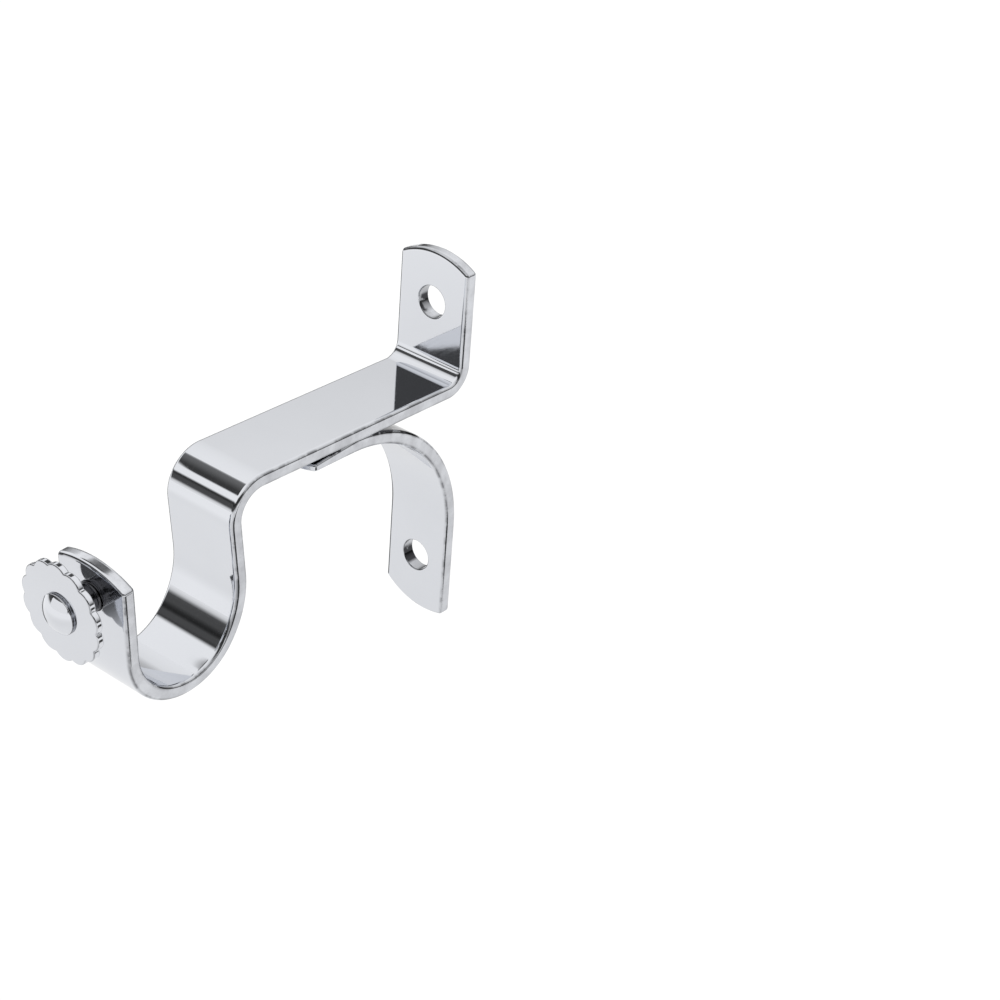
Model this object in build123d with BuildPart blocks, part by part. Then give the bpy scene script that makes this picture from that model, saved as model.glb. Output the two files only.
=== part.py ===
"""Curtain pole bracket: a folded steel strip with a pole cup, a welded brace and a clamping thumb screw.

Frame: X along the pole, +Y into the wall, +Z up. The wall is the plane Y = 0 and the origin lies
midway between the two wall screw holes. All sizes are in millimetres.
"""
import os
from math import cos, radians, sin, sqrt

from build123d import *

# Driving sizes of the bracket
strip_width = 15.0
strip_thickness = 2.5
brace_width = 13.3
projection = 65.0
pole_diameter = 19.0
pole_clearance = 0.1
hole_spacing = 50.0
wall_hole_diameter = 5.8

# Arm strip, seen from the side
arm_top_z = 12.7
pole_axis_z = -9.2
wall_bend_radius = 2.6
front_bend_radius = 4.5
drop_lean = 7.2
cup_entry_radius = 14.5
cup_entry_sweep = 43.4
upstand_lean = 4.3
upstand_length = 15.2
tab_margin = 7.2

# Strip ends and edges
end_radius = 14.0
upstand_end_radius = 18.5
upstand_end_offset = 1.2
end_corner_radius = 0.8
edge_bevel = 0.4
hole_bevel = 0.3

# Brace
brace_knee_radius = 27.0
brace_lap = 9.0
brace_end_margin = 10.4
brace_end_offset = 2.4

# Thumb screw
screw_diameter = 5.0
screw_length = 10.0
screw_fit_clearance = 0.05
screw_tip_chamfer = 0.5
head_diameter = 7.0
head_height = 1.9
head_edge = 0.4
head_rounding = 0.3
screw_from_top = 5.7
disc_gap = 5.0
disc_diameter = 17.5
disc_notch_depth = 0.6
disc_lobes = 14
disc_thickness = 1.2
disc_notch_rounding = 0.25
disc_bevel = 0.2

# Sizes that follow from the driving ones
half_width = strip_width / 2
cup_radius = pole_diameter / 2 + pole_clearance
front_outer_radius = front_bend_radius + strip_thickness
arm_underside_z = arm_top_z - strip_thickness
cup_sweep = 180 + drop_lean - cup_entry_sweep - upstand_lean
end_rise = end_radius - sqrt(end_radius**2 - half_width**2)
tab_top_z = hole_spacing / 2 + tab_margin + end_rise

# The seat face runs down the tab, along the arm top, down the drop and round the cup
entry_heading = drop_lean - cup_entry_sweep
entry_direction = Vector(cos(radians(entry_heading)), sin(radians(entry_heading)))
entry_centre = Vector(-projection, pole_axis_z) - entry_direction * (cup_entry_radius - cup_radius)
drop_end = entry_centre + Vector(cos(radians(drop_lean)), sin(radians(drop_lean))) * cup_entry_radius
drop_start_z = arm_top_z - front_outer_radius * (1 + sin(radians(drop_lean)))
drop_length = (drop_start_z - drop_end.Y) / cos(radians(drop_lean))
drop_start = drop_end + Vector(-sin(radians(drop_lean)), cos(radians(drop_lean))) * drop_length
arm_end_y = drop_start.X + front_outer_radius * cos(radians(drop_lean))

# The upstand leans outwards, and the clamp screw stands square to it
upstand_direction = Vector(0, -sin(radians(upstand_lean)), cos(radians(upstand_lean)))
outward = Vector(0, -cos(radians(upstand_lean)), -sin(radians(upstand_lean)))
upstand_foot = Vector(0, -projection, pole_axis_z) + outward * cup_radius
upstand_tip = upstand_foot + upstand_direction * upstand_length
screw_hole_centre = upstand_tip - upstand_direction * screw_from_top


def end_waste(plane, width, arc_offset=0.0, radius=end_radius):
    """Metal trimmed off a square strip end to leave it rounded; the plane's origin is level with the crown."""
    with BuildSketch(plane) as waste:
        with Locations((0, 1 - radius / 2)):
            Rectangle(width + 2, radius)
        with Locations((arc_offset, -radius)):
            Circle(radius, mode=Mode.SUBTRACT)
    return waste.sketch


def through_edges(strip):
    """Short edges that run through the strip's thickness, at the corners of its ends."""
    return strip.edges().filter_by(lambda edge: abs(edge.length - strip_thickness) < 0.01)


def rim_edges(strip):
    """Long edges and end edges, all round both faces of the strip."""
    return strip.edges() - strip.edges().filter_by(Axis.X) - through_edges(strip)


def round_edges(piece, diameter):
    """Full circular edges of one diameter, such as both rims of a hole."""
    circles = piece.edges().filter_by(GeomType.CIRCLE)
    return circles.filter_by(lambda edge: abs(edge.radius - diameter / 2) < 0.001 and edge.is_closed)


# Arm strip: one bar folded into wall tab, arm, drop, pole cup and upstand
upper_tab_plane = Plane((0, 0, tab_top_z), x_dir=(1, 0, 0), z_dir=(0, -1, 0))
upstand_plane = Plane(upstand_tip, x_dir=(1, 0, 0), z_dir=outward)
upper_hole_plane = Plane((0, -strip_thickness, hole_spacing / 2), x_dir=(1, 0, 0), z_dir=(0, -1, 0))
clamp_hole_plane = Plane(screw_hole_centre + outward * strip_thickness, x_dir=(1, 0, 0), z_dir=outward)

with BuildPart() as arm_strip:
    with BuildSketch(Plane.YZ):
        with BuildLine():
            tab = Line((-strip_thickness, tab_top_z), (-strip_thickness, arm_top_z + wall_bend_radius))
            wall_bend = JernArc(tab @ 1, tab % 1, wall_bend_radius, -90)
            arm = Line(wall_bend @ 1, (arm_end_y, arm_top_z))
            front_bend = JernArc(arm @ 1, arm % 1, front_outer_radius, 90 + drop_lean)
            drop = Line(front_bend @ 1, (drop_end.X, drop_end.Y))
            entry = JernArc(drop @ 1, drop % 1, cup_entry_radius, -cup_entry_sweep)
            cup = JernArc(entry @ 1, entry % 1, cup_radius, -cup_sweep)
            Line(cup @ 1, (cup @ 1) + (cup % 1) * upstand_length)
            offset(amount=strip_thickness, side=Side.LEFT)
        make_face()
    extrude(amount=half_width, both=True)
    extrude(end_waste(upper_tab_plane, strip_width), amount=strip_thickness, mode=Mode.SUBTRACT)
    upstand_waste = end_waste(upstand_plane, strip_width, -upstand_end_offset, upstand_end_radius)
    extrude(upstand_waste, amount=strip_thickness, mode=Mode.SUBTRACT)
    fillet(through_edges(arm_strip), end_corner_radius)
    chamfer(rim_edges(arm_strip), edge_bevel)
    with Locations(upper_hole_plane):
        Hole(wall_hole_diameter / 2, depth=strip_thickness)
    with Locations(clamp_hole_plane):
        Hole(screw_diameter / 2 + screw_fit_clearance, depth=strip_thickness)
    chamfer(round_edges(arm_strip, wall_hole_diameter), hole_bevel)

# Brace strip: lower wall tab, quarter-circle knee and a flat lap welded under the arm
brace_foot_z = -hole_spacing / 2 - brace_end_margin
brace_tip_y = -brace_knee_radius - brace_lap - end_rise
lower_tab_plane = Plane((0, 0, brace_foot_z), x_dir=(-1, 0, 0), z_dir=(0, -1, 0))
lap_plane = Plane((0, brace_tip_y, arm_underside_z), x_dir=(1, 0, 0), z_dir=(0, 0, -1))
lower_hole_plane = Plane((0, -strip_thickness, -hole_spacing / 2), x_dir=(1, 0, 0), z_dir=(0, -1, 0))

with BuildPart() as brace_strip:
    with BuildSketch(Plane.YZ):
        with BuildLine():
            lower_tab = Line((0, brace_foot_z), (0, arm_underside_z - brace_knee_radius))
            knee = JernArc(lower_tab @ 1, lower_tab % 1, brace_knee_radius, 90)
            Line(knee @ 1, (brace_tip_y, arm_underside_z))
            offset(amount=strip_thickness, side=Side.LEFT)
        make_face()
    extrude(amount=brace_width / 2, both=True)
    foot_waste = end_waste(lower_tab_plane, brace_width, -brace_end_offset)
    extrude(foot_waste, amount=strip_thickness, mode=Mode.SUBTRACT)
    extrude(end_waste(lap_plane, brace_width), amount=strip_thickness, mode=Mode.SUBTRACT)
    fillet(through_edges(brace_strip), end_corner_radius)
    chamfer(rim_edges(brace_strip), edge_bevel)
    with Locations(lower_hole_plane):
        Hole(wall_hole_diameter / 2, depth=strip_thickness)
    chamfer(round_edges(brace_strip, wall_hole_diameter), hole_bevel)

# Clamp screw: round head outside the disc, shank through the disc and the upstand
disc_face = screw_hole_centre + outward * (strip_thickness + disc_gap + disc_thickness)
screw_axis = Axis(disc_face, outward)
screw_plane = Plane(disc_face, x_dir=(1, 0, 0), z_dir=outward)
screw_section = Plane(disc_face, x_dir=(1, 0, 0), z_dir=upstand_direction * -1)
shank_radius = screw_diameter / 2
head_radius = head_diameter / 2
dome_rise = head_height - head_edge
dome_radius = (head_radius**2 + dome_rise**2) / (2 * dome_rise)

with BuildPart() as clamp_screw:
    with BuildSketch(screw_section):
        with BuildLine():
            Polyline(
                (0, -screw_length),
                (shank_radius - screw_tip_chamfer, -screw_length),
                (shank_radius, screw_tip_chamfer - screw_length),
                (shank_radius, 0),
                (head_radius, 0),
                (head_radius, head_edge),
            )
            RadiusArc((head_radius, head_edge), (0, head_height), -dome_radius)
            Line((0, head_height), (0, -screw_length))
        make_face()
    revolve(axis=screw_axis)
    fillet(round_edges(clamp_screw, head_diameter).sort_by(screw_axis)[-1], head_rounding)

# Thumb disc: stamped from sheet with a ring of rounded lobes, fixed behind the screw's head
lobe_radius = disc_diameter / 2
notch_radius = lobe_radius - disc_notch_depth
lobe_angle = 360 / disc_lobes


def rim_point(radius, lobe):
    """Point on the disc's outline, counted in lobes from the top."""
    turn = radians(90 + lobe * lobe_angle)
    return (radius * cos(turn), radius * sin(turn))


with BuildPart() as thumb_disc:
    with BuildSketch(screw_plane):
        with BuildLine():
            for lobe in range(disc_lobes):
                ThreePointArc(
                    rim_point(notch_radius, lobe - 0.5),
                    rim_point(lobe_radius, lobe),
                    rim_point(notch_radius, lobe + 0.5),
                )
        make_face()
    extrude(amount=-disc_thickness)
    fillet(thumb_disc.edges().filter_by(screw_axis), disc_notch_rounding)
    chamfer(thumb_disc.edges().filter_by(GeomType.CIRCLE), disc_bevel)
    with Locations(screw_plane):
        Hole(shank_radius + screw_fit_clearance, depth=disc_thickness)

os.makedirs("parts", exist_ok=True)
arm_strip.part.label = "arm_strip"
export_step(arm_strip.part, "parts/arm_strip.step")
brace_strip.part.label = "brace_strip"
export_step(brace_strip.part, "parts/brace_strip.step")
clamp_screw.part.label = "clamp_screw"
export_step(clamp_screw.part, "parts/clamp_screw.step")
thumb_disc.part.label = "thumb_disc"
export_step(thumb_disc.part, "parts/thumb_disc.step")
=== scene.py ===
from math import asin, atan2, cos, pi, radians, sin, sqrt

import bmesh
import bpy
from mathutils import Matrix, Vector


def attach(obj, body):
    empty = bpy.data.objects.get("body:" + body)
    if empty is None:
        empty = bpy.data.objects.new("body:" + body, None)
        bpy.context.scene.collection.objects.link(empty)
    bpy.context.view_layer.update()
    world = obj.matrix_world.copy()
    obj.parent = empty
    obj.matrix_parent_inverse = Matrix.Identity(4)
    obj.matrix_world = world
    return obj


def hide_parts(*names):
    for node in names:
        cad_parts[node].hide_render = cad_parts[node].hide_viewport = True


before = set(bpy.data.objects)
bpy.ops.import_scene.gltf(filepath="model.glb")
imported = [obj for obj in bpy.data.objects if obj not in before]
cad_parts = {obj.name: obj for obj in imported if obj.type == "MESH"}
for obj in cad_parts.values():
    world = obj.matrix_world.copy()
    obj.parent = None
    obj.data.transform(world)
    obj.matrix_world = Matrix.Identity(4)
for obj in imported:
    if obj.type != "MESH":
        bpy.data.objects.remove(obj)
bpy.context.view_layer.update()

# Arm strip: mild steel flat bar with rolled edges. It is cropped, punched and tapped while flat, folded
# into wall tab, arm, drop, pole cup and upstand, then polished and chrome plated as one piece.
mm = 0.001
strip_width = 15.0 * mm
strip_thickness = 2.5 * mm
rolled_edge = 0.7 * mm
punched_edge = 0.25 * mm
crop_radius = 14.0 * mm
crop_corner = 0.8 * mm
upstand_crop_radius = 18.5 * mm
upstand_crown = -1.2 * mm
edge_steps = 6
hole_steps = 64
corner_steps = 8
crop_steps = 40
bend_step = radians(2.5)

pole_y, pole_z = -65.0 * mm, -9.2 * mm
cup_radius = 9.6 * mm
arm_top = 12.7 * mm
wall_bend_radius = 2.6 * mm
front_bend_radius = 7.0 * mm
entry_radius = 14.5 * mm
drop_lean = radians(7.2)
entry_sweep = radians(43.4)
upstand_lean = radians(4.3)
upstand_length = 15.2 * mm
tab_margin = 7.2 * mm
hole_spacing = 50.0 * mm
wall_hole_radius = 2.9 * mm
tapped_hole_radius = 2.55 * mm
tapped_hole_from_tip = 5.7 * mm
# Turn of the side of each hole wall that carries painted shade
upper_hole_dark_turn = radians(245)
tapped_hole_dark_turn = 0.0

crop_rise = crop_radius - sqrt(crop_radius**2 - (strip_width / 2) ** 2)
tab_top = hole_spacing / 2 + tab_margin + crop_rise
cup_sweep = pi + drop_lean - entry_sweep - upstand_lean
entry_turn = drop_lean - entry_sweep
entry_y = pole_y - cos(entry_turn) * (entry_radius - cup_radius)
entry_z = pole_z - sin(entry_turn) * (entry_radius - cup_radius)
drop_end_y = entry_y + cos(drop_lean) * entry_radius
drop_end_z = entry_z + sin(drop_lean) * entry_radius
drop_start_z = arm_top - front_bend_radius * (1 + sin(drop_lean))
drop_length = (drop_start_z - drop_end_z) / cos(drop_lean)
arm_end_y = drop_end_y - sin(drop_lean) * drop_length + front_bend_radius * cos(drop_lean)

tab_length = tab_top - arm_top - wall_bend_radius
arm_length = -strip_thickness - wall_bend_radius - arm_end_y
arm_runs = [
    ("flat", tab_length, 0),
    ("bend", wall_bend_radius * pi / 2, -wall_bend_radius),
    ("flat", arm_length, 0),
    ("bend", front_bend_radius * (pi / 2 + drop_lean), front_bend_radius),
    ("flat", drop_length, 0),
    ("bend", entry_radius * entry_sweep, -entry_radius),
    ("bend", cup_radius * cup_sweep, -cup_radius),
    ("flat", upstand_length, 0),
]


def length_of(runs):
    """Length of strip in a list of flat and bent runs."""
    return sum(run for _, run, _ in runs)


def spread(start, end, steps):
    """Evenly spaced values from start to end, both among them."""
    return [start + (end - start) * step / steps for step in range(steps + 1)]


def share(value):
    """A value held between none and all."""
    return min(1.0, max(0.0, value))


def cropped_end(half_width, crop, crown):
    """Outline round one end, from left to right, as (across, along, facing across, facing along)."""
    reach = crop - crop_corner
    tilt_left = asin((crop_corner - half_width - crown) / reach)
    tilt_right = asin((half_width - crop_corner - crown) / reach)
    left = (crop_corner - half_width, crop - reach * cos(tilt_left), crop_corner)
    right = (half_width - crop_corner, crop - reach * cos(tilt_right), crop_corner)
    outline = []
    for (across, along, radius), tilts in (
        (left, spread(-pi / 2, tilt_left, corner_steps)),
        ((crown, crop, crop), spread(tilt_left, tilt_right, crop_steps)[1:-1]),
        (right, spread(tilt_right, pi / 2, corner_steps)),
    ):
        for tilt in tilts:
            facing = (sin(tilt), -cos(tilt))
            outline.append((across + radius * facing[0], along + radius * facing[1], *facing))
    return outline


def rounded_rim(outline, rounding, points, facings):
    """Rings of points that round both rims of an outline, from the seat face to the back face."""
    rings = []
    tilts = spread(0, pi / 2, edge_steps)
    for tilt, on_back in [(t, False) for t in tilts] + [(t, True) for t in reversed(tilts)]:
        inset, sink = rounding * (1 - sin(tilt)), rounding * (1 - cos(tilt))
        depth = strip_thickness - sink if on_back else sink
        lift = cos(tilt) if on_back else -cos(tilt)
        rings.append(range(len(points), len(points) + len(outline)))
        for across, along, face_across, face_along in outline:
            points.append((across - face_across * inset, along - face_along * inset, depth))
            facings.append((face_across * sin(tilt), face_along * sin(tilt), lift))
    return rings


def blank_faces(rims, end_count, station_count):
    """Faces round every rim of a blank and across both its sides, led round the holes at its ends."""
    faces = []
    for rings in filter(None, rims):
        for near, far in zip(rings, rings[1:]):
            for i in range(len(near)):
                j = (i + 1) % len(near)
                faces.append((near[i], near[j], far[j], far[i]))
    crown = end_count // 2
    opposite = hole_steps // 2
    tail_from = end_count + station_count
    for side in (0, -1):
        ring = list(rims[0][side])
        heads = ring[:end_count]
        rights = ring[end_count:tail_from]
        tails = ring[tail_from:tail_from + end_count]
        lefts = ring[:-station_count - 1:-1]
        for i in range(station_count - 1):
            faces.append((rights[i], rights[i + 1], lefts[i + 1], lefts[i]))
        for end, near, far, rim in (
            (heads, rights[0], lefts[0], rims[1]),
            (tails, lefts[-1], rights[-1], rims[2]),
        ):
            if rim is None:
                faces.append(tuple(end) + (near, far))
                continue
            hole = list(rim[side])
            if rim is rims[2]:
                hole = hole[opposite:] + hole[:opposite]
            faces.append(tuple(end[crown:] + [near, far] + hole[opposite::-1]))
            faces.append(tuple(end[:crown + 1] + [hole[0]] + hole[:opposite - 1:-1] + [far]))
    return faces


def thin_the_end(points, facings, start, slope):
    """Forges the strip thinner from a start along it to its end, on the seat side alone."""
    for i, ((across, along, depth), (x, y, z)) in enumerate(zip(points, facings)):
        sunk = max(0.0, along - start) * slope
        points[i] = (across, along, depth + sunk * (1 - depth / strip_thickness))
        if sunk:
            facings[i] = tuple(Vector((x, y + slope * max(0.0, -z), z)).normalized())


# Painted shade and painted dark reflections: dark lines along the rims, painted shade on one side of each
# hole wall and on the seat in the crook under the arm
painted_line_strength = 0.9
painted_side_line = (0.44, 0.40)
painted_tip_line = (0.16, 0.16)
painted_tip_gain = 1.8
tip_facing = 0.2
painted_hole_shade = 0.2
painted_patch_shade = 1.2
patch_from = 0.8
patch_fade = 0.15
painted_crook_shade = 2.0
crook_shade_run = 4.0 * mm


def rim_line(turned_over, middle, reach):
    """A painted dark reflection in a thin line along a rim, by how far the metal has turned from face to
    edge.
    """
    return painted_line_strength * max(0.0, 1 - abs(turned_over - middle) / reach)


def painted_strip_shade(points, facings, dark_sides, shaded_from):
    """Painted shade on a blank: painted dark reflection lines along its rims, painted shade on one side of
    each hole wall and on the seat of its end in the crook.
    """
    darkened = []
    for (_, along, _), (x, y, z), dark_side in zip(points, facings, dark_sides):
        turned_over = 1 - abs(z)
        black = rim_line(turned_over, *painted_side_line)
        if dark_side:
            # Painted shade on the side of the hole wall turned away from the light
            in_patch = share((x * dark_side[0] + y * dark_side[1] - patch_from) / patch_fade)
            black = max(black, (painted_hole_shade + painted_patch_shade * in_patch) * turned_over)
        elif y > tip_facing and z > 0:
            black = painted_tip_gain * rim_line(turned_over, *painted_tip_line)
        # Painted shade on the seat face where it lies in the crook under the arm
        in_crook = share((along - shaded_from) / crook_shade_run)
        darkened.append(max(black, painted_crook_shade * in_crook * max(0.0, -z)))
    return darkened


def new_piece(name, mesh):
    """An object for a mesh, put in the scene at the origin."""
    piece = bpy.data.objects.new(name, mesh)
    bpy.context.scene.collection.objects.link(piece)
    return piece


def mark_points(mesh, label, values):
    """Notes a number on each point of a mesh, for its tree or its finish to read."""
    mesh.attributes.new(label, "FLOAT", "POINT").data.foreach_set("value", values)


def marked_piece(name, points, faces, facings, black):
    """An object of plain points and faces that notes which way each point faces and how much painted shade it
    carries.
    """
    mesh = bpy.data.meshes.new(name)
    mesh.from_pydata(points, [], faces)
    ways = mesh.attributes.new("facing", "FLOAT_VECTOR", "POINT")
    ways.data.foreach_set("vector", [part for facing in facings for part in facing])
    mark_points(mesh, "painted_shade", black)
    return new_piece(name, mesh)


def flat_blank(name, width, runs, head_crop, tail_crop, head_hole, tail_hole, end_slope=0.0, shaded_end=0.0):
    """The strip before folding: heading down from the origin, seat face on Y = 0 and metal behind it.

    A hole is given as its place along the strip, its radius and the turn of its side that carries painted
    shade. A shaded end is the length of seat face that gets painted shade for the crook it lies in once the
    strip is welded on under the arm.
    """
    half = width / 2
    length = length_of(runs)
    stations = []
    reached = 0
    for kind, run, radius in runs:
        steps = max(2, round(run / abs(radius) / bend_step)) if kind == "bend" else 1
        stations += spread(reached, reached + run, steps)[:-1]
        reached += run
    stations = stations[1:]

    head = cropped_end(half, *head_crop)
    tail = [(x, length - y, fx, -fy) for x, y, fx, fy in reversed(cropped_end(half, *tail_crop))]
    outline = head + [(half, y, 1, 0) for y in stations]
    outline += tail + [(-half, y, -1, 0) for y in reversed(stations)]
    points, facings = [], []
    rims = [rounded_rim(outline, rolled_edge, points, facings)]
    dark_sides = [None] * len(points)
    for hole in (head_hole, tail_hole):
        if hole is None:
            rims.append(None)
            continue
        along, radius, dark_turn = hole
        turns = spread(0, 2 * pi, hole_steps)[:-1]
        ring = [(radius * sin(t), along - radius * cos(t), -sin(t), cos(t)) for t in turns]
        rims.append(rounded_rim(ring, punched_edge, points, facings))
        dark_sides += [(-sin(dark_turn), cos(dark_turn))] * (len(points) - len(dark_sides))
    faces = blank_faces(rims, len(head), len(stations))

    if end_slope:
        thin_the_end(points, facings, length - runs[-1][1], end_slope)
    laid = [(x, depth, -y) for x, y, depth in points]
    ways = [(x, z, -y) for x, y, z in facings]
    black = painted_strip_shade(points, facings, dark_sides, length - shaded_end)
    blank = marked_piece(name, laid, faces, ways, black)
    unrolled = blank.data.uv_layers.new(name="strip")
    for loop in blank.data.loops:
        unrolled.data[loop.index].uv = points[loop.vertex_index][:2]
    mark_points(blank.data, "along", [along for _, along, _ in points])
    mark_points(blank.data, "edge", [1 - abs(z) for _, _, z in facings])
    return blank


def tree_with(name, inputs):
    """An empty node tree that takes and gives geometry, with the named inputs of a piece's sizes."""
    tree = bpy.data.node_groups.new(name, "GeometryNodeTree")
    tree.interface.new_socket("Geometry", in_out="INPUT", socket_type="NodeSocketGeometry")
    for label, kind in inputs:
        tree.interface.new_socket(label, in_out="INPUT", socket_type="NodeSocket" + kind)
    tree.interface.new_socket("Geometry", in_out="OUTPUT", socket_type="NodeSocketGeometry")
    return tree, tree.nodes.new("NodeGroupInput"), tree.nodes.new("NodeGroupOutput")


def add_node(tree, kind, links=(), **settings):
    """A node with its settings, and its inputs set to a value or linked to another node's output."""
    node = tree.nodes.new(kind)
    for key, value in settings.items():
        setattr(node, key, value)
    for socket, value in links:
        if isinstance(value, bpy.types.NodeSocket):
            tree.links.new(value, node.inputs[socket])
        else:
            node.inputs[socket].default_value = value
    return node


def reckon(tree, operation, *terms):
    """One step of arithmetic on numbers, as its output socket."""
    return add_node(tree, "ShaderNodeMath", list(enumerate(terms)), operation=operation).outputs[0]


def held_within(tree, value, most):
    """A number held between nought and the most it may be, as its output socket."""
    return reckon(tree, "MAXIMUM", reckon(tree, "MINIMUM", value, most), 0.0)


def noted(tree, label, kind="FLOAT"):
    """What each point of a mesh notes under a label, as its output socket."""
    return add_node(tree, "GeometryNodeInputNamedAttribute", [("Name", label)], data_type=kind).outputs[0]


def finish_tree(tree, geometry, finish, tree_out):
    """The end of every tree: instances made real, and the finish put on."""
    real = add_node(tree, "GeometryNodeRealizeInstances", [("Geometry", geometry)]).outputs[0]
    finished = add_node(tree, "GeometryNodeSetMaterial", [("Geometry", real), ("Material", finish)])
    tree.links.new(finished.outputs[0], tree_out.inputs[0])


fold, fold_in, fold_out = tree_with(
    "fold_strip", [("Start", "Float"), ("Arc", "Float"), ("Radius", "Float"), ("Finish", "Material")]
)
past_start = reckon(fold, "SUBTRACT", noted(fold, "along"), fold_in.outputs["Start"])
in_arc = held_within(fold, past_start, fold_in.outputs["Arc"])
turned = reckon(fold, "DIVIDE", in_arc, fold_in.outputs["Radius"])
drawn_back = add_node(fold, "ShaderNodeCombineXYZ", [("Z", in_arc)])
fold_centre = add_node(
    fold, "ShaderNodeCombineXYZ",
    [("Y", fold_in.outputs["Radius"]), ("Z", reckon(fold, "MULTIPLY", fold_in.outputs["Start"], -1.0))],
)
place = add_node(fold, "GeometryNodeInputPosition")
shifted = add_node(fold, "ShaderNodeVectorMath", [(0, place.outputs[0]), (1, drawn_back.outputs[0])])
swung = add_node(
    fold, "ShaderNodeVectorRotate",
    [("Vector", shifted.outputs[0]), ("Center", fold_centre.outputs[0]), ("Angle", turned)],
    rotation_type="X_AXIS",
)
new_facing = add_node(
    fold, "ShaderNodeVectorRotate", [("Vector", noted(fold, "facing", "FLOAT_VECTOR")), ("Angle", turned)],
    rotation_type="X_AXIS",
)
folded = add_node(
    fold, "GeometryNodeSetPosition",
    [("Geometry", fold_in.outputs["Geometry"]), ("Position", swung.outputs[0])],
)
faced = add_node(
    fold, "GeometryNodeStoreNamedAttribute",
    [("Geometry", folded.outputs[0]), ("Name", "facing"), ("Value", new_facing.outputs[0])],
    data_type="FLOAT_VECTOR", domain="POINT",
)
finish_tree(fold, faced.outputs[0], fold_in.outputs["Finish"], fold_out)


def add_tree(piece, tree, values):
    """A Geometry Nodes modifier with its inputs set by their identifiers."""
    modifier = piece.modifiers.new(tree.name, "NODES")
    modifier.node_group = tree
    for item in tree.interface.items_tree:
        if item.in_out == "INPUT" and item.name in values:
            modifier[item.identifier] = values[item.name]


def plain_mesh(piece, placing):
    """Turns a piece with modifiers into a plain mesh in its place, shaded by its facings if it notes them."""
    bpy.context.view_layer.update()
    graph = bpy.context.evaluated_depsgraph_get()
    made = piece.evaluated_get(graph)
    mesh = bpy.data.meshes.new_from_object(made, preserve_all_data_layers=True, depsgraph=graph)
    piece.modifiers.clear()
    piece.data = mesh
    mesh.transform(placing)
    shell = bmesh.new()
    shell.from_mesh(mesh)
    bmesh.ops.recalc_face_normals(shell, faces=shell.faces)
    shell.to_mesh(mesh)
    shell.free()
    facings = []
    if "facing" in mesh.attributes:
        turn = placing.to_3x3()
        facings = [turn @ f.vector for f in mesh.attributes["facing"].data]
    for name in ("along", "facing", "turned by"):
        if name in mesh.attributes:
            mesh.attributes.remove(mesh.attributes[name])
    mesh.shade_smooth()
    if facings:
        mesh.normals_split_custom_set_from_vertices(facings)
    mesh.update()


def folded_strip(blank, runs, finish, placing):
    """Folds a blank bend by bend, from its far end back to its head, and puts it in its place."""
    starts = [length_of(runs[:i]) for i in range(len(runs))]
    for (kind, arc, radius), start in reversed(list(zip(runs, starts))):
        if kind == "bend":
            add_tree(blank, fold, {"Start": start, "Arc": arc, "Radius": radius, "Finish": finish})
    plain_mesh(blank, placing)


def ramp(tree, value, low, high, low_gives=0.0, high_gives=1.0, blend="LINEAR"):
    """A rise or fall between two values, as its output socket."""
    links = [("Value", value), ("From Min", low), ("From Max", high)]
    links += [("To Min", low_gives), ("To Max", high_gives)]
    return add_node(tree, "ShaderNodeMapRange", links, interpolation_type=blend).outputs[0]


mix_sockets = {"FLOAT": (2, 3, 0), "RGBA": (6, 7, 2)}


def mixed(tree, second_share, first, second, kind="RGBA"):
    """A mix of two colours or two numbers, as its output socket."""
    first_at, second_at, mix_at = mix_sockets[kind]
    links = [("Factor", second_share), (first_at, first), (second_at, second)]
    return add_node(tree, "ShaderNodeMix", links, data_type=kind).outputs[mix_at]


def noise(tree, where, scale, detail, roughness=0.5):
    """Random unevenness between none and all, as its output socket."""
    links = [("Vector", where), ("Scale", scale), ("Detail", detail), ("Roughness", roughness)]
    return add_node(tree, "ShaderNodeTexNoise", links).outputs[0]


def new_finish(name):
    """A new material with its node tree and its shader."""
    finish = bpy.data.materials.new(name)
    finish.use_nodes = True
    return finish, finish.node_tree, finish.node_tree.nodes["Principled BSDF"]


# The plate's tints, the colour of its painted shade, and how its polishing lines, its worn rims, its painted
# shade and its unevenness show
chrome_tints = (0.688, 0.703, 0.738, 1), (0.728, 0.743, 0.778, 1)
worn_chrome = (0.56, 0.57, 0.60, 1)
# Colour of the painted shade and painted dark reflections
painted_shade_colour = (0.05, 0.05, 0.055, 1)
cloud_scale = 70.0
dent_scale = 300.0
dent_roughness = 0.6
worn_dents = (0.38, 0.66)
shade_dents = (0.46, 0.56)
least_shade = 0.4
line_heights = (0.3, 0.7)
line_roughness = (0.03, 0.07)
rim_roughness = 0.08
rim_dent_gain = 4.0
ripple_strength = 0.02
ripple_height = 0.2 * mm


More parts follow.
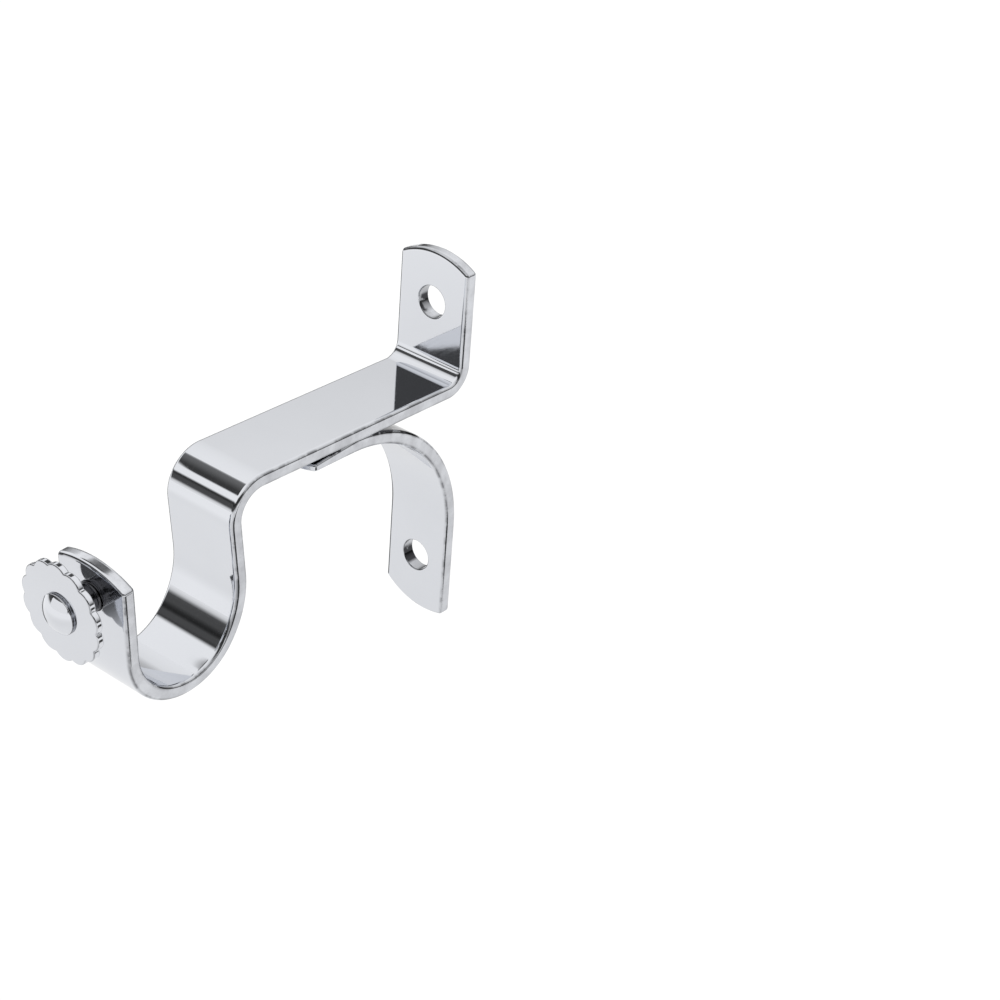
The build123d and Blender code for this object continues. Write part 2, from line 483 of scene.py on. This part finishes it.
def plated(name, coords, grain):
    """Chrome plate: bright and faintly blue, with polishing lines, worn rims, and painted shade and painted
    dark reflections where they are noted.
    """
    finish, tree, shader = new_finish(name)
    shader.inputs["Metallic"].default_value = 1.0
    where = add_node(tree, "ShaderNodeTexCoord").outputs["Object"]
    lines_at = add_node(tree, "ShaderNodeUVMap", uv_map=coords).outputs[0] if coords else where
    drawn = add_node(tree, "ShaderNodeMapping", [("Vector", lines_at), ("Scale", grain)]).outputs[0]
    lines = noise(tree, drawn, 1.0, 3.0)
    cloud = noise(tree, where, cloud_scale, 2.0)
    dents = noise(tree, where, dent_scale, 4.0, dent_roughness)
    edge = add_node(tree, "ShaderNodeAttribute", attribute_name="edge").outputs["Fac"]
    # Painted shade and painted dark reflections, as noted on each point
    painted_shade = add_node(tree, "ShaderNodeAttribute", attribute_name="painted_shade").outputs["Fac"]

    worn = reckon(tree, "MULTIPLY", edge, ramp(tree, dents, *worn_dents))
    black = reckon(tree, "MULTIPLY", painted_shade, ramp(tree, dents, *shade_dents, least_shade, 1.0))
    colour = mixed(tree, cloud, *chrome_tints)
    colour = mixed(tree, worn, colour, worn_chrome)
    colour = mixed(tree, black, colour, painted_shade_colour)
    tree.links.new(colour, shader.inputs["Base Color"])

    sheen = ramp(tree, lines, *line_heights, *line_roughness)
    roughness = reckon(tree, "MULTIPLY_ADD", edge, rim_roughness, sheen)
    tree.links.new(roughness, shader.inputs["Roughness"])
    uneven = reckon(tree, "MULTIPLY_ADD", reckon(tree, "MULTIPLY", edge, dents), rim_dent_gain, cloud)
    ripple = add_node(
        tree, "ShaderNodeBump",
        [("Height", uneven), ("Strength", ripple_strength), ("Distance", ripple_height)],
    )
    tree.links.new(ripple.outputs[0], shader.inputs["Normal"])
    return finish


strip_grain = (1800, 60, 1)
strip_chrome = plated("strip_chrome", "strip", strip_grain)
upper_hole = (tab_top - hole_spacing / 2, wall_hole_radius, upper_hole_dark_turn)
tapped_hole = (length_of(arm_runs) - tapped_hole_from_tip, tapped_hole_radius, tapped_hole_dark_turn)
arm = flat_blank(
    "folded_arm", strip_width, arm_runs, (crop_radius, 0), (upstand_crop_radius, upstand_crown),
    upper_hole, tapped_hole,
)
folded_strip(arm, arm_runs, strip_chrome, Matrix.Translation((0, -strip_thickness, tab_top)))
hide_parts("arm_strip")
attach(arm, "bracket")

# Brace strip: a narrower length of the same flat bar, punched for the lower wall screw, bent through a
# quarter circle, its tip forged thinner, and welded under the arm before the bracket is polished and
# plated. Painted shade darkens its seat in the crook under the arm.
brace_width = 13.3 * mm
knee_radius = 27.0 * mm
brace_lap = 9.0 * mm
brace_margin = 10.4 * mm
brace_foot = -hole_spacing / 2 - brace_margin
brace_crown = 2.4 * mm
brace_tip_slope = 0.13
shaded_lap = 29.5 * mm
# Turn of the side of the lower hole's wall that carries painted shade
lower_hole_dark_turn = radians(295)
brace_runs = [
    ("flat", arm_top - strip_thickness - knee_radius - brace_foot, 0),
    ("bend", knee_radius * pi / 2, knee_radius),
    ("flat", brace_lap + crop_rise, 0),
]
lower_hole = (-hole_spacing / 2 - brace_foot, wall_hole_radius, lower_hole_dark_turn)
brace = flat_blank(
    "curved_brace", brace_width, brace_runs, (crop_radius, brace_crown), (crop_radius, 0),
    lower_hole, None, end_slope=brace_tip_slope, shaded_end=shaded_lap,
)
folded_strip(
    brace, brace_runs, strip_chrome,
    Matrix.Translation((0, 0, brace_foot)) @ Matrix.Rotation(pi, 4, "X"),
)
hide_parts("brace_strip")
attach(brace, "bracket")

# Clamp screw: a steel machine screw with a polished round head and a blackened shank, plain next to the
# head and threaded to the tip. It runs in the tapped hole of the upstand and presses on the pole.
screw_radius = 2.5 * mm
screw_length = 10.0 * mm
thread_pitch = 0.8 * mm
thread_depth = 0.3 * mm
crest_ends = 0.06
root_starts = 0.42
tip_radius = 2.0 * mm
plain_neck = 5.4 * mm
run_out = 0.6 * mm
thread_rows = 10
thread_steps = 60
weld_reach = 2e-6
disc_thickness = 1.2 * mm
disc_gap = 5.0 * mm
outward = Vector((0, -cos(upstand_lean), -sin(upstand_lean)))
up_the_upstand = Vector((0, -sin(upstand_lean), cos(upstand_lean)))
screw_hole = Vector((0, pole_y, pole_z)) + outward * cup_radius
screw_hole += up_the_upstand * (upstand_length - tapped_hole_from_tip)
disc_face = screw_hole + outward * (strip_thickness + disc_gap + disc_thickness)
on_screw_axis = Matrix.Translation(disc_face) @ Matrix(
    [(1, up_the_upstand.x, outward.x), (0, up_the_upstand.y, outward.y), (0, up_the_upstand.z, outward.z)]
).to_4x4()

thread, thread_in, thread_out = tree_with(
    "cut_thread",
    [("Length", "Float"), ("Crest", "Float"), ("Pitch", "Float"), ("Depth", "Float"), ("Tip", "Float"),
     ("Neck", "Float"), ("Run Out", "Float"), ("Rows", "Int"), ("Steps", "Int"), ("Finish", "Material")],
)
size_of = thread_in.outputs
pitches = reckon(thread, "DIVIDE", size_of["Length"], size_of["Pitch"])
turns = reckon(thread, "ADD", reckon(thread, "CEIL", pitches), 1.0)
row_count = reckon(thread, "MULTIPLY", turns, size_of["Rows"])
sheet = add_node(
    thread, "GeometryNodeMeshGrid",
    [("Size X", 1.0), ("Size Y", 1.0), ("Vertices X", reckon(thread, "ADD", size_of["Steps"], 1.0)),
     ("Vertices Y", reckon(thread, "ADD", row_count, 1.0))],
)
sheet_at = add_node(thread, "GeometryNodeInputPosition").outputs[0]
flat = add_node(thread, "ShaderNodeSeparateXYZ", [(0, sheet_at)]).outputs
round_share = reckon(thread, "ADD", flat["X"], 0.5)
turn_share = reckon(thread, "MULTIPLY", reckon(thread, "ADD", flat["Y"], 0.5), turns)
turns_up = reckon(thread, "SUBTRACT", reckon(thread, "ADD", turn_share, round_share), 1.0)
climb = reckon(thread, "MULTIPLY", turns_up, size_of["Pitch"])
height = held_within(thread, climb, size_of["Length"])
groove = ramp(thread, reckon(thread, "PINGPONG", turn_share, 0.5), crest_ends, root_starts)
below_head = reckon(thread, "SUBTRACT", size_of["Length"], height)
past_neck = reckon(thread, "SUBTRACT", below_head, size_of["Neck"])
fade = held_within(thread, reckon(thread, "DIVIDE", past_neck, size_of["Run Out"]), 1.0)
cut = reckon(thread, "MULTIPLY", reckon(thread, "MULTIPLY", groove, fade), size_of["Depth"])
chamfer = reckon(thread, "ADD", size_of["Tip"], height)
radius_here = reckon(thread, "MINIMUM", reckon(thread, "SUBTRACT", size_of["Crest"], cut), chamfer)
angle_here = reckon(thread, "MULTIPLY", round_share, 2 * pi)
on_shank = add_node(
    thread, "ShaderNodeCombineXYZ",
    [("X", reckon(thread, "MULTIPLY", radius_here, reckon(thread, "COSINE", angle_here))),
     ("Y", reckon(thread, "MULTIPLY", radius_here, reckon(thread, "SINE", angle_here))),
     ("Z", reckon(thread, "SUBTRACT", height, size_of["Length"]))],
)
wound = add_node(
    thread, "GeometryNodeSetPosition",
    [("Geometry", sheet.outputs["Mesh"]), ("Position", on_shank.outputs[0])],
)
tip_face = add_node(
    thread, "GeometryNodeMeshCircle", [("Vertices", size_of["Steps"]), ("Radius", size_of["Tip"])],
    fill_type="NGON",
)
tip_height = reckon(thread, "MULTIPLY", size_of["Length"], -1.0)
tip_at = add_node(thread, "ShaderNodeCombineXYZ", [("Z", tip_height)])
tip_put = add_node(
    thread, "GeometryNodeTransform", [("Geometry", tip_face.outputs[0]), ("Translation", tip_at.outputs[0])]
)
root_face = add_node(
    thread, "GeometryNodeMeshCircle", [("Vertices", size_of["Steps"]), ("Radius", size_of["Crest"])],
    fill_type="NGON",
)
joined = add_node(thread, "GeometryNodeJoinGeometry")
for surface in (wound, tip_put, root_face):
    thread.links.new(surface.outputs[0], joined.inputs[0])
welded = add_node(
    thread, "GeometryNodeMergeByDistance", [("Geometry", joined.outputs[0]), ("Distance", weld_reach)]
)
finish_tree(thread, welded.outputs[0], size_of["Finish"], thread_out)

oxide_tints = (0.05, 0.05, 0.055, 1), (0.09, 0.09, 0.095, 1)
oil_scale = 300.0
oil_roughness = (0.12, 0.20)
blackened, black_tree, black_shader = new_finish("blackened_steel")
black_shader.inputs["Metallic"].default_value = 1.0
oil = noise(black_tree, add_node(black_tree, "ShaderNodeTexCoord").outputs["Object"], oil_scale, 4.0)
black_tree.links.new(mixed(black_tree, oil, *oxide_tints), black_shader.inputs["Base Color"])
black_tree.links.new(ramp(black_tree, oil, 0.0, 1.0, *oil_roughness), black_shader.inputs["Roughness"])

shank = new_piece("threaded_shank", bpy.data.meshes.new("threaded_shank"))
add_tree(shank, thread, {
    "Length": screw_length, "Crest": screw_radius, "Pitch": thread_pitch, "Depth": thread_depth,
    "Tip": tip_radius, "Neck": plain_neck, "Run Out": run_out, "Rows": thread_rows, "Steps": thread_steps,
    "Finish": blackened,
})
plain_mesh(shank, on_screw_axis)
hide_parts("clamp_screw")
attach(shank, "screw")

# Screw head: the round head of the same screw, turned smooth, polished and chromed. It sits flat on the
# thumb disc, and disc and head turn with the screw.
head_radius = 3.5 * mm
head_height = 1.9 * mm
head_edge = 0.4 * mm
head_rounding = 0.3 * mm
seat_edge = 0.15 * mm
head_steps = 64
seat_edge_steps = 4
rounding_steps = 8
dome_steps = 20
# Painted shade round the head's rim: from how far out its facing turns, and over how much it fades in
head_shade_from = 0.74
head_shade_fade = 0.15


def turned_part(name, profile, finish):
    """A lathe part from profile points, each as (radius, height, facing out, facing along)."""
    points, facings, black, faces, rings = [], [], [], [], []
    for radius, height, face_out, face_along in profile:
        rings.append([])
        for turn in [0] if radius == 0 else spread(0, 2 * pi, head_steps)[:-1]:
            rings[-1].append(len(points))
            points.append((radius * cos(turn), radius * sin(turn), height))
            facings.append((face_out * cos(turn), face_out * sin(turn), face_along))
            # Painted shade and painted dark reflection round the head's rim and seat
            black.append(share((face_out - head_shade_from) / head_shade_fade))
    for lower, upper in zip(rings, rings[1:]):
        for i in range(head_steps):
            j = (i + 1) % head_steps
            corners = [lower[i % len(lower)], lower[j % len(lower)]]
            corners += [upper[j % len(upper)], upper[i % len(upper)]]
            faces.append(tuple(dict.fromkeys(corners)))
    part = marked_piece(name, points, faces, facings, black)
    part.data.materials.append(finish)
    return part


dome_rise = head_height - head_edge
dome_radius = (head_radius**2 + dome_rise**2) / (2 * dome_rise)
dome_centre = head_height - dome_radius
rim_out = head_radius - head_rounding
rim_up = dome_centre + sqrt((dome_radius - head_rounding) ** 2 - rim_out**2)
rim_tilt = asin(rim_out / (dome_radius - head_rounding))
head_profile = [(0, 0, 0, -1), (head_radius - seat_edge, 0, 0, -1)]
head_profile += [
    (head_radius - seat_edge + seat_edge * sin(t), seat_edge - seat_edge * cos(t), sin(t), -cos(t))
    for t in spread(0, pi / 2, seat_edge_steps)[1:]
]
head_profile += [
    (rim_out + head_rounding * sin(t), rim_up + head_rounding * cos(t), sin(t), cos(t))
    for t in spread(pi / 2, rim_tilt, rounding_steps)
]
head_profile += [
    (dome_radius * sin(t), dome_centre + dome_radius * cos(t), sin(t), cos(t))
    for t in spread(rim_tilt, 0, dome_steps)[1:-1]
]
head_profile.append((0, head_height, 0, 1))
head_grain = (900, 900, 900)
head_chrome = plated("head_chrome", "", head_grain)
screw_head = turned_part("round_head", head_profile, head_chrome)
plain_mesh(screw_head, on_screw_axis)
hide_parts("clamp_screw")
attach(screw_head, "screw")

# Thumb disc: stamped from steel sheet with fourteen rounded lobes for the fingers, drilled for the screw,
# its edges tumbled smooth, polished and chromed. It is fixed under the screw's head and turns with it.
disc_lobes = 14
lobe_reach = 8.75 * mm
notch_reach = 8.15 * mm
notch_rounding = 0.25 * mm
disc_edge = 0.3 * mm
disc_bore = 2.55 * mm
bore_edge = 0.05 * mm
notch_steps = 4
lobe_steps = 10
disc_edge_steps = 4
bore_edge_steps = 1
# Painted dark reflection lines along the disc's rims
disc_shade_line = (0.35, 0.35)
half_lobe = pi / disc_lobes
lobe_centre = (lobe_reach**2 - notch_reach**2) / (2 * (lobe_reach - notch_reach * cos(half_lobe)))
lobe_radius = lobe_reach - lobe_centre
notch_centre = lobe_centre * cos(half_lobe) + sqrt(
    (lobe_radius + notch_rounding) ** 2 - (lobe_centre * sin(half_lobe)) ** 2
)
notch_x = notch_centre * sin(half_lobe)
notch_y = notch_centre * cos(half_lobe)
meeting = atan2(notch_x, notch_y - lobe_centre)
lobe_outline = [
    (notch_x - notch_rounding * sin(t), notch_y - notch_rounding * cos(t), sin(t), cos(t))
    for t in spread(half_lobe, meeting, notch_steps)
]
lobe_outline += [
    (lobe_radius * sin(t), lobe_centre + lobe_radius * cos(t), sin(t), cos(t))
    for t in spread(meeting, 0, lobe_steps)[1:]
]
lobe_outline += [(-x, y, -face_x, face_y) for x, y, face_x, face_y in reversed(lobe_outline[:-1])]


def disc_lobe(name, finish):
    """One lobe of the disc with its share of both faces and of the bore, pointing up the Y axis."""
    points, facings, faces, rings = [], [], [], []
    bore = [
        (disc_bore * sin(t), disc_bore * cos(t), -sin(t), -cos(t))
        for t in spread(half_lobe, -half_lobe, len(lobe_outline) - 1)
    ]
    outer_tilts = spread(0, pi / 2, disc_edge_steps)
    bore_tilts = spread(0, pi / 2, bore_edge_steps)
    around = [(lobe_outline, disc_edge, tilt, 1) for tilt in outer_tilts]
    around += [(lobe_outline, disc_edge, tilt, -1) for tilt in reversed(outer_tilts)]
    around += [(bore, bore_edge, tilt, -1) for tilt in bore_tilts]
    around += [(bore, bore_edge, tilt, 1) for tilt in reversed(bore_tilts)]
    for outline, rounding, tilt, side in around:
        inset, sink = rounding * (1 - sin(tilt)), rounding * (1 - cos(tilt))
        rings.append(range(len(points), len(points) + len(outline)))
        for x, y, face_x, face_y in outline:
            height = -sink if side > 0 else sink - disc_thickness
            points.append((x - face_x * inset, y - face_y * inset, height))
            facings.append((face_x * sin(tilt), face_y * sin(tilt), side * cos(tilt)))
    for near, far in zip(rings, rings[1:] + rings[:1]):
        for i in range(len(near) - 1):
            faces.append((near[i], near[i + 1], far[i + 1], far[i]))
    # Painted dark reflection lines along the disc's rims
    black = [rim_line(1 - abs(z), *disc_shade_line) for _, _, z in facings]
    lobe = marked_piece(name, points, faces, facings, black)
    lobe.data.materials.append(finish)
    return lobe


ring_up, ring_in, ring_out = tree_with(
    "ring_of_lobes", [("Lobes", "Int"), ("Weld", "Float"), ("Finish", "Material")]
)
places = add_node(
    ring_up, "GeometryNodeMeshLine", [("Count", ring_in.outputs["Lobes"]), ("Offset", (0, 0, 0))]
)
step_angle = reckon(ring_up, "DIVIDE", 2 * pi, ring_in.outputs["Lobes"])
lobe_number = add_node(ring_up, "GeometryNodeInputIndex").outputs[0]
lobe_angle = reckon(ring_up, "MULTIPLY", lobe_number, step_angle)
lobe_turn = add_node(ring_up, "ShaderNodeCombineXYZ", [("Z", lobe_angle)]).outputs[0]
lobes = add_node(
    ring_up, "GeometryNodeInstanceOnPoints",
    [("Points", places.outputs[0]), ("Instance", ring_in.outputs["Geometry"]), ("Rotation", lobe_turn)],
)
lobes_told = add_node(
    ring_up, "GeometryNodeStoreNamedAttribute",
    [("Geometry", lobes.outputs[0]), ("Name", "turned by"), ("Value", lobe_angle)],
    data_type="FLOAT", domain="INSTANCE",
)
lobes_real = add_node(ring_up, "GeometryNodeRealizeInstances", [("Geometry", lobes_told.outputs[0])])
facing_out = add_node(
    ring_up, "ShaderNodeVectorRotate",
    [("Vector", noted(ring_up, "facing", "FLOAT_VECTOR")), ("Angle", noted(ring_up, "turned by"))],
    rotation_type="Z_AXIS",
)
lobes_faced = add_node(
    ring_up, "GeometryNodeStoreNamedAttribute",
    [("Geometry", lobes_real.outputs[0]), ("Name", "facing"), ("Value", facing_out.outputs[0])],
    data_type="FLOAT_VECTOR", domain="POINT",
)
lobes_welded = add_node(
    ring_up, "GeometryNodeMergeByDistance",
    [("Geometry", lobes_faced.outputs[0]), ("Distance", ring_in.outputs["Weld"])],
)
finish_tree(ring_up, lobes_welded.outputs[0], ring_in.outputs["Finish"], ring_out)

disc_grain = (500, 500, 500)
disc_chrome = plated("disc_chrome", "", disc_grain)
disc = disc_lobe("scalloped_disc", disc_chrome)
add_tree(disc, ring_up, {"Lobes": disc_lobes, "Weld": weld_reach, "Finish": disc_chrome})
plain_mesh(disc, on_screw_axis)
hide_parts("thumb_disc")
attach(disc, "disc")

# Stage: a plain white floor in a white studio. In reflections alone the studio is dark in front and along
# the rear horizon but for one light gap, and three cards stand near the bracket: a low one at the right, a
# small light one before the screw's head, and a light one with a soft dark hole above the front bend.
floor_level = -0.12
floor_reach = 4.0
floor_white = 0.8
floor_glow = 0.25
under_bracket = (0, -0.04, floor_level)
corner_slant = -0.885
white, white_tree, white_shader = new_finish("white_floor")
white_shader.inputs["Roughness"].default_value = 0.9
white_shader.inputs["Specular IOR Level"].default_value = 0.0
white_shader.inputs["Emission Color"].default_value = (1, 1, 1, 1)


def soft_ramp(tree, value, low, high, low_gives, high_gives):
    """A rise or fall between two values that starts and ends gently, as its output socket."""
    return ramp(tree, value, low, high, low_gives, high_gives, "SMOOTHSTEP")


def product(tree, first, *others):
    """Numbers multiplied one after another, as an output socket."""
    for other in others:
        first = reckon(tree, "MULTIPLY", first, other)
    return first


seen = add_node(white_tree, "ShaderNodeLightPath").outputs
floor_at = add_node(white_tree, "ShaderNodeTexCoord").outputs["Object"]
spot = add_node(white_tree, "ShaderNodeSeparateXYZ", [(0, floor_at)]).outputs
from_bracket = add_node(
    white_tree, "ShaderNodeVectorMath", [(0, floor_at), (1, under_bracket)], operation="DISTANCE"
).outputs["Value"]
slanted = reckon(white_tree, "MULTIPLY", spot["Y"], corner_slant)
past_the_corner = reckon(white_tree, "SUBTRACT", slanted, spot["X"])
dark_at_left = product(
    white_tree,
    soft_ramp(white_tree, spot["X"], -0.138, -0.118, 0.9, 0),
    soft_ramp(white_tree, spot["Y"], -0.095, -0.065, 0, 1),
    soft_ramp(white_tree, past_the_corner, 0.03, 0.09, 0, 1),
    soft_ramp(white_tree, from_bracket, 0.5, 0.7, 1, 0),
)
chrome_share = product(
    white_tree,
    soft_ramp(white_tree, from_bracket, 0.10, 0.45, 0.92, 1.10),
    soft_ramp(white_tree, spot["Y"], -0.24, -0.12, 0.93, 1.0),
    soft_ramp(white_tree, spot["Y"], -0.02, 0.10, 1.0, 0.86),
    reckon(white_tree, "SUBTRACT", 1.0, dark_at_left),
)
floor_share = mixed(white_tree, seen["Is Glossy Ray"], 1.0, chrome_share, "FLOAT")
floor_tone = reckon(white_tree, "MULTIPLY", floor_share, floor_white)
white_tree.links.new(floor_tone, white_shader.inputs["Base Color"])
through_or_glossy = reckon(white_tree, "MAXIMUM", seen["Is Glossy Ray"], seen["Is Transmission Ray"])
seen_white = reckon(white_tree, "MAXIMUM", seen["Is Camera Ray"], through_or_glossy)
seen_glow = product(white_tree, seen_white, floor_share, floor_glow)
white_tree.links.new(seen_glow, white_shader.inputs["Emission Strength"])
floor_corners = [
    (side_x * floor_reach, side_y * floor_reach, floor_level)
    for side_x, side_y in ((-1, -1), (1, -1), (1, 1), (-1, 1))
]
floor_mesh = bpy.data.meshes.new("floor")
floor_mesh.from_pydata(floor_corners, [], [(0, 1, 2, 3)])
floor_mesh.materials.append(white)
floor = new_piece("floor", floor_mesh)

studio = bpy.data.worlds.new("studio")
bpy.context.scene.world = studio
studio.use_nodes = True
sky_tree = studio.node_tree
sky = sky_tree.nodes["Background"]
sky_at = add_node(sky_tree, "ShaderNodeTexCoord").outputs["Generated"]
heading = add_node(sky_tree, "ShaderNodeSeparateXYZ", [(0, sky_at)]).outputs


def levels(tree, height, stops):
    """Grey levels by height above the horizon, each stop as (height, level)."""
    node = add_node(tree, "ShaderNodeValToRGB", [("Fac", height)])
    steps = node.color_ramp.elements
    while len(steps) < len(stops):
        steps.new(1.0)
    for step, (at, level) in zip(steps, stops):
        step.position = at
        step.color = (level, level, level, 1)
    return node.outputs[0]


front_stops = [
    (0.0, 0.95), (0.05, 0.75), (0.09, 0.32), (0.12, 0.09), (0.17, 0.08), (0.24, 0.08), (0.31, 0.03),
    (0.35, 0.02), (0.41, 0.08), (0.50, 0.08), (0.56, 0.05), (0.595, 0.22), (0.64, 0.78), (0.71, 0.95),
    (0.79, 1.08),
]
dark_horizon = [(0.0, 0.1), (0.05, 0.08), (0.12, 0.1), (0.19, 0.32), (0.26, 0.55)]
light_horizon = [(0.0, 0.95), (0.06, 0.95), (0.12, 0.75), (0.19, 0.55), (0.27, 0.6)]
rear_stops = [(0.34, 0.66), (0.41, 0.78), (0.454, 0.86), (0.492, 0.94), (0.574, 0.97), (0.79, 1.05)]
front_level = levels(sky_tree, heading["Z"], front_stops)
back_level = levels(sky_tree, heading["Z"], dark_horizon + rear_stops)
gap_level = levels(sky_tree, heading["Z"], light_horizon + rear_stops)
in_front = soft_ramp(sky_tree, heading["Y"], -0.25, -0.05, 1, 0)
in_gap = product(
    sky_tree,
    soft_ramp(sky_tree, heading["X"], -0.70, -0.65, 0, 1),
    soft_ramp(sky_tree, heading["X"], -0.50, -0.40, 1, 0),
)
rear_level = mixed(sky_tree, in_gap, back_level, gap_level, "FLOAT")
round_level = mixed(sky_tree, in_front, rear_level, front_level, "FLOAT")
in_chrome = add_node(sky_tree, "ShaderNodeLightPath").outputs["Is Glossy Ray"]
sky_level = mixed(sky_tree, in_chrome, 1.0, round_level, "FLOAT")
sky_tree.links.new(sky_level, sky.inputs["Strength"])
sky.inputs["Color"].default_value = (1, 1, 1, 1)

card_black = (0.01, 0.01, 0.01, 1)


def studio_card(name, corners, light):
    """A black card, lit from behind, that shows in the bracket's chrome and nowhere else, as its shader."""
    board, _, shader = new_finish(name)
    shader.inputs["Base Color"].default_value = card_black
    shader.inputs["Specular IOR Level"].default_value = 0.0
    shader.inputs["Emission Color"].default_value = (1, 1, 1, 1)
    shader.inputs["Emission Strength"].default_value = light
    mesh = bpy.data.meshes.new(name)
    mesh.from_pydata(corners, [], [tuple(range(len(corners)))])
    mesh.materials.append(board)
    card = new_piece(name, mesh)
    card.visible_camera = card.visible_diffuse = card.visible_shadow = False
    return shader


low_card_x = 0.15
low_card_light = 0.06
low_card_corners = [(-0.09, floor_level), (0.03, floor_level), (0.03, -0.045), (-0.09, -0.045)]
studio_card("low_card", [(low_card_x, y, z) for y, z in low_card_corners], low_card_light)
head_card_corners = [
    (-0.020, -0.106, 0.0), (0.012, -0.106, 0.0), (0.012, -0.1015, 0.0115), (-0.020, -0.1015, 0.0115)
]
studio_card("head_card", head_card_corners, 1.0)
light_card_height = 0.0353
light_card_corners = [
    (-0.13, -0.114), (0.02, -0.114), (0.02, -0.055), (-0.027, -0.055), (-0.034, -0.043), (-0.13, -0.043)
]
light_shader = studio_card("light_card", [(x, y, light_card_height) for x, y in light_card_corners], 1.0)
light_tree = light_shader.id_data
light_at = add_node(light_tree, "ShaderNodeTexCoord").outputs["Object"]
card_at = add_node(light_tree, "ShaderNodeSeparateXYZ", [(0, light_at)]).outputs
dark_hole = product(
    light_tree,
    soft_ramp(light_tree, card_at["Y"], -0.081, -0.0765, 0, 0.96),
    soft_ramp(light_tree, card_at["Y"], -0.072, -0.056, 1, 0.88),
    soft_ramp(light_tree, card_at["Y"], -0.0575, -0.0525, 1, 0),
    soft_ramp(light_tree, card_at["X"], -0.036, -0.031, 0, 1),
    soft_ramp(light_tree, card_at["X"], -0.010, -0.005, 1, 0),
)
card_light = product(
    light_tree,
    soft_ramp(light_tree, card_at["Y"], -0.111, -0.098, 0.05, 1.05),
    reckon(light_tree, "SUBTRACT", 1.0, dark_hole),
)
light_tree.links.new(card_light, light_shader.inputs["Emission Strength"])

# Camera: in front of the bracket, above it and to its right, looking down at it. Its place and its lens
# are fitted to edges measured in the photo.
film_width = 36.0
lens_over_film = 2.250504
camera_place = (0.2226, -0.2662, 0.1862)
camera_right = Vector((0.76168, 0.64382, 0.07294))
camera_up = Vector((-0.37109, 0.34118, 0.86363))
lens = bpy.data.cameras.new("camera")
lens.sensor_width = film_width
lens.lens = film_width * lens_over_film
camera = new_piece("camera", lens)
camera.matrix_world = Matrix.Translation(camera_place) @ Matrix(
    (camera_right, camera_up, camera_right.cross(camera_up))
).transposed().to_4x4()
bpy.context.scene.camera = camera
bpy.context.scene.view_settings.view_transform = "Standard"
